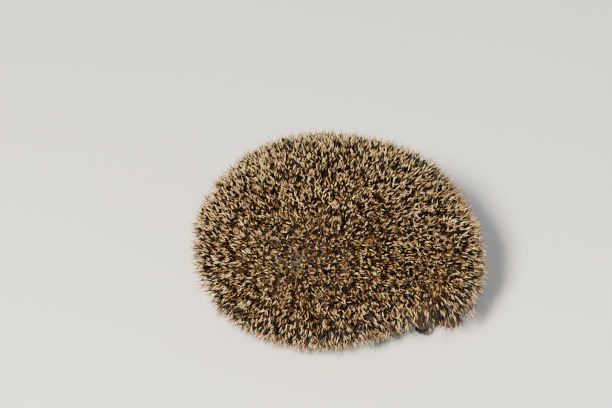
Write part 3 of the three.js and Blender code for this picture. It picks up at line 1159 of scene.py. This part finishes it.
def make_fur(settings, skin):
    """Fur on face, ears, feet, tail and under the skirt of spines."""
    material = fur_material(settings)
    tail = (TAIL[1] - TAIL[0]).normalized()

    def face_length(points):
        """Shorter towards the nose."""
        shares = np.array((1.0, 0.8, 0.38)) * settings.face_length
        return np.interp(down_face(points)[0], (0, 14 * MM, 30 * MM), shares)

    def flank_length(points):
        """Shorter next to the face and the ears, and near the floor."""
        apart = off_line(points, SKULL, NOSE_TIP)
        full = settings.flank_length * np.interp(apart, (14 * MM, 40 * MM), (0.3, 1.0))
        for side in SIDES:
            apart = off_place(points, middle(f"ear_{side}"))
            full = full * np.interp(apart, (9 * MM, 17 * MM), (0.4, 1.0))
        return full * np.interp(points[:, 2], (0, 6 * MM, 16 * MM), (0.35, 0.6, 1.0))

    def even(millimetres):
        """The same length all over."""
        return lambda points: np.full(len(points), millimetres * MM)

    def straight(way):
        """The same way all over."""
        return lambda points: np.tile(np.array(way), (len(points), 1))

    # Piece, slot, where it grows, how it lies, how long, and then spacing and thickness in
    # millimetres, how much it stands off the skin and how much it droops.
    flank = (0.6, 0.26, 0.4, 0.35)
    zones = [
        ("face_fur", "face_fur", face_share, flow_of_face, face_length, (0.42, 0.2, 0.36, 0)),
        ("ear_fur", "face_fur", ear_share, straight(UP), even(1.5), (0.45, 0.18, 0.34, 0)),
        ("paw_fur", "paw_skin", feet_share, flow_of_feet, even(2.4), (0.52, 0.2, 0.3, 0.1)),
        ("tail_fur", "belly_fur", tail_share, straight(tail), even(3), (0.5, 0.22, 0.3, 0.05)),
        ("flank_fur", "belly_fur", flank_share, flow_of_flank, flank_length, flank),
    ]
    for seed, zone in enumerate(zones, 20):
        lay_fur(skin, material, seed, zone)


# ---------------------------------------------------------------- eyes, nose, whiskers and claws


def own_piece(piece, name, material, node):
    """Gives a finished piece its name, material, body and the solid it stands for."""
    piece.name = piece.data.name = name
    piece.data.materials.append(material)
    choose([piece])
    bpy.ops.object.shade_smooth()
    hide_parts(node)
    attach(piece, "root")


BULGE = 0.175 * MM  # how far the front of an eyeball stands out of its round
BULGE_FROM = 1.9 * MM  # in front of the eyeball's middle


def make_eyes(settings):
    """Two glossy eyeballs, each a little raised in front."""
    material = eye_material(settings)
    for side in SIDES:
        centre = middle(f"eye_{side}")
        eye = ball(centre, (EYE_RADIUS,) * 3, segments=64)
        facing = np.array(eye_facing(side))

        def raised(points):
            ahead = (points - np.array(centre)) @ facing
            rise = BULGE * smooth_share(BULGE_FROM, EYE_RADIUS, ahead)
            return points + np.outer(rise, facing)

        reshape(eye, raised)
        own_piece(eye, f"eyeball_{side}", material, f"eye_{side}")


NOSE_SEMI = mm(4.6, 4, 3.8)
# A nostril's place and its line on the pad, for the left side, as shares of the pad's half sizes.
NOSTRIL = (0.56, -0.12, 0.66)
NOSTRIL_LINE = (0.3, 0.42, -0.3)
NOSTRIL_DEPTH = 1.9 * MM
NOSE_GROOVE = 0.45 * MM
NOSE_RIDGE = 0.25 * MM


def make_nose(settings):
    """The bare pad of the nose, with two nostrils open to the sides and a groove between."""
    centre = NOSE_TIP - FACE_DOWN * NOSE_SEMI.z
    turn = Matrix((FACE_LEFT, -FACE_FRONT, FACE_DOWN)).transposed()
    pad = ball(centre, NOSE_SEMI - mm(0.2, 0.2, 0.2), turn, segments=96)
    axes = np.array(turn)

    def with_nostrils(points):
        share = (points - np.array(centre)) @ axes / np.array(NOSE_SEMI)
        sink = np.zeros(len(points))
        for side in (-1, 1):
            mirror = np.array((side, 1, 1))
            long = NOSTRIL_LINE * mirror
            away = share - NOSTRIL * mirror
            stretch = np.clip(away @ long / (long @ long), 0, 1)
            apart = np.linalg.norm(away - stretch[:, None] * long, axis=1)
            sink += NOSTRIL_DEPTH * np.exp(-((apart / (0.25 - 0.12 * stretch)) ** 4))
        groove = np.exp(-np.square(share[:, 0] / 0.07)) * smooth_share(-0.5, 0.1, share[:, 2])
        sink += NOSE_GROOVE * groove * smooth_share(-1.1, -0.2, share[:, 1])
        ridge = np.exp(-np.square((np.abs(share[:, 0]) - 0.3) / 0.16)) * (share[:, 2] > 0)
        outward = unit(points - np.array(centre))
        return points - outward * (sink - NOSE_RIDGE * ridge)[:, None]

    reshape(pad, with_nostrils)
    own_piece(pad, "nose_pad", nose_material(settings), "nose")


WHISKER_ROWS = 3
WHISKERS_IN_ROW = 5
WHISKER_RADIUS = 0.14 * MM
CLAW_RADIUS = 0.95 * MM
CLAW_DROOP = 0.5
CLAW_ROOM = 0.1 * MM  # least height of a claw's tip
MIDDLE_TOE = TOES // 2


def make_whiskers(settings):
    """Stiff dark hairs in rows along both sides of the snout."""
    random = np.random.default_rng(8)
    roots, directions, lengths = [], [], []
    for side in (-1, 1):
        for row in range(WHISKER_ROWS):
            for place in range(WHISKERS_IN_ROW):
                down = (21 + 2.1 * place) * MM
                front = (1.8 - 1.5 * row) * MM
                wide = (7.4 - 0.75 * place - 0.35 * row) * MM
                out = FACE_LEFT * side + FACE_FRONT * (0.35 - 0.3 * row) - FACE_DOWN * 0.35
                out += Vector(random.standard_normal(3) * 0.12)
                roots.append(face_point(down, side * wide * 0.8, front))
                directions.append(out.normalized())
                full = settings.whisker_length * (1 - 0.13 * place)
                lengths.append(full * random.uniform(0.8, 1.05))
    roots, directions, lengths = (np.array(values) for values in (roots, directions, lengths))
    bends = np.tile(np.array(-FACE_DOWN) * 0.2 - np.array(UP) * 0.12, (len(roots), 1))
    lengths = above_floor(roots, directions + bends, lengths)
    radii = np.full(len(roots), WHISKER_RADIUS)
    pale = scaled(settings.claw_base, 0.6)
    hair = strand_material("whisker_hair", settings.eye, pale, (0.35, 0.5))
    strand_pieces(
        "whiskers", "face_fur", hair, roots, directions, lengths, radii, bends,
        rings=WHISKER_RINGS, sides=6, tones=random.random(len(roots)),
    )


def make_claws(settings):
    """Five curved claws on every paw."""
    roots, directions, lengths = [], [], []
    for leg in LEGS.values():
        for index in range(TOES):
            _, tip, out = toe_points(leg, index)
            roots.append(tip + UP * 0.3 * MM)
            directions.append((out + UP * 0.12).normalized())
            lengths.append(CLAW_LENGTH * (1.25 if index == MIDDLE_TOE else 1.1))
    roots, directions, lengths = (np.array(values) for values in (roots, directions, lengths))
    bends = np.tile(np.array(UP) * -CLAW_DROOP, (len(roots), 1))
    lengths = above_floor(roots, directions + bends, lengths, CLAW_ROOM)
    radii = np.full(len(roots), CLAW_RADIUS)
    tones = np.random.default_rng(3).random(len(roots))
    horn = strand_material("claw_horn", settings.claw_base, settings.claw_tip, (0.25, 0.45))
    strand_pieces(
        "claws", "paw_skin", horn, roots, directions, lengths, radii, bends,
        rings=CLAW_RINGS, sides=10, tones=tones,
    )


# ---------------------------------------------------------------- operators


class StageOperator(bpy.types.Operator):
    """Floor, soft studio light and camera"""

    bl_idname = "hedgehog.stage"
    bl_label = "Stage"

    def execute(self, context):
        settings = context.scene.hedgehog_stage
        deselect()
        bpy.ops.mesh.primitive_plane_add(size=6)
        floor = bpy.context.object
        floor.name = "floor"
        floor.data.materials.append(floor_material(settings))
        place_camera(settings)
        light_stage()
        return {"FINISHED"}


AIM = mm(-20.8, -3, 85.5)
SENSOR_WIDTH = 36
NEAREST_SEEN = 50 * MM


def place_camera(settings):
    """The camera at its angle, distance and width of view."""
    deselect()
    away = Vector((0, -math.cos(settings.elevation), math.sin(settings.elevation)))
    place = AIM + away * settings.distance
    turn = (-away).to_track_quat("-Z", "Y").to_euler()
    bpy.ops.object.camera_add(location=place, rotation=turn)
    camera = bpy.context.object
    camera.name = "camera"
    camera.data.sensor_width = SENSOR_WIDTH
    camera.data.lens = SENSOR_WIDTH * settings.distance / settings.view_width
    camera.data.clip_start = NEAREST_SEEN
    bpy.context.scene.camera = camera


# Each lamp's place and width in metres, its power in watts and its colour.
LIGHTS = {
    "key": ((-0.5, -1.2, 1.4), 0.35, 118, (1, 0.95, 0.81)),
    "fill": ((1.3, -0.9, 0.9), 1.4, 8, (0.95, 0.97, 1)),
    "rim": ((0.3, 1.4, 1.2), 1.0, 3, (1, 0.98, 0.95)),
}
SKY = (0.9, 0.93, 1, 1)
SKY_STRENGTH = 0.3
LIT_PLACE = mm(0, 0, 50)  # the lamps are turned to it


def light_stage():
    """Three soft lamps and a dim pale sky."""
    for name, (place, size, power, rgb) in LIGHTS.items():
        deselect()
        away = Vector(place) - LIT_PLACE
        turn = away.to_track_quat("Z", "Y").to_euler()
        bpy.ops.object.light_add(type="AREA", location=place, rotation=turn)
        lamp = bpy.context.object
        lamp.name = name
        lamp.data.shape = "DISK"
        lamp.data.size = size
        lamp.data.energy = power
        lamp.data.color = rgb
    world = bpy.data.worlds.new("studio")
    world.use_nodes = True
    sky = world.node_tree.nodes["Background"].inputs
    sky["Color"].default_value = SKY
    sky["Strength"].default_value = SKY_STRENGTH
    bpy.context.scene.world = world


class SkinOperator(bpy.types.Operator):
    """One skin for the whole animal"""

    bl_idname = "hedgehog.skin"
    bl_label = "Skin"

    def execute(self, context):
        make_skin(context.scene.hedgehog_coat)
        return {"FINISHED"}


class SpinesOperator(bpy.types.Operator):
    """Spines over back and brow"""

    bl_idname = "hedgehog.spines"
    bl_label = "Spines"

    def execute(self, context):
        make_spines(context.scene.hedgehog_spines, bpy.data.objects["skin"])
        return {"FINISHED"}


class FurOperator(bpy.types.Operator):
    """Fur on face, ears, paws, tail and flanks"""

    bl_idname = "hedgehog.fur"
    bl_label = "Fur"

    def execute(self, context):
        make_fur(context.scene.hedgehog_coat, bpy.data.objects["skin"])
        return {"FINISHED"}


class EyesOperator(bpy.types.Operator):
    """Two eyeballs"""

    bl_idname = "hedgehog.eyes"
    bl_label = "Eyes"

    def execute(self, context):
        make_eyes(context.scene.hedgehog_face)
        return {"FINISHED"}


class NoseOperator(bpy.types.Operator):
    """The pad of the nose"""

    bl_idname = "hedgehog.nose"
    bl_label = "Nose"

    def execute(self, context):
        make_nose(context.scene.hedgehog_face)
        return {"FINISHED"}


class WhiskersOperator(bpy.types.Operator):
    """Whiskers on both sides of the snout"""

    bl_idname = "hedgehog.whiskers"
    bl_label = "Whiskers"

    def execute(self, context):
        make_whiskers(context.scene.hedgehog_face)
        return {"FINISHED"}


class ClawsOperator(bpy.types.Operator):
    """Claws on every paw"""

    bl_idname = "hedgehog.claws"
    bl_label = "Claws"

    def execute(self, context):
        make_claws(context.scene.hedgehog_face)
        return {"FINISHED"}


class HedgehogPanel(bpy.types.Panel):
    """The steps that make the animal, in order"""

    bl_idname = "VIEW3D_PT_hedgehog"
    bl_label = "Hedgehog"
    bl_space_type = "VIEW_3D"
    bl_region_type = "UI"
    bl_category = "Hedgehog"

    def draw(self, context):
        column = self.layout.column()
        for step in STEPS:
            column.operator(step.bl_idname)
        for name in SETTINGS:
            settings = getattr(context.scene, name)
            box = self.layout.box()
            for key in settings.__annotations__:
                box.prop(settings, key)


SETTINGS = {
    "hedgehog_spines": SpineSettings,
    "hedgehog_coat": CoatSettings,
    "hedgehog_face": FaceSettings,
    "hedgehog_stage": StageSettings,
}
STEPS = [
    StageOperator, SkinOperator, EyesOperator, NoseOperator, ClawsOperator, WhiskersOperator,
    SpinesOperator, FurOperator,
]
CLASSES = [*SETTINGS.values(), *STEPS, HedgehogPanel]


def register():
    """Makes the settings, steps and panel known."""
    for entry in CLASSES:
        bpy.utils.register_class(entry)
    for name, group in SETTINGS.items():
        setattr(bpy.types.Scene, name, bpy.props.PointerProperty(type=group))


def unregister():
    """Takes the settings, steps and panel away."""
    for name in SETTINGS:
        delattr(bpy.types.Scene, name)
    for entry in reversed(CLASSES):
        bpy.utils.unregister_class(entry)


def main():
    """Makes the whole animal."""
    register()
    bpy.ops.hedgehog.stage()
    bpy.ops.hedgehog.skin()
    bpy.ops.hedgehog.eyes()
    bpy.ops.hedgehog.nose()
    bpy.ops.hedgehog.claws()
    bpy.ops.hedgehog.whiskers()
    bpy.ops.hedgehog.spines()
    bpy.ops.hedgehog.fur()


if __name__ == "__main__":
    main()
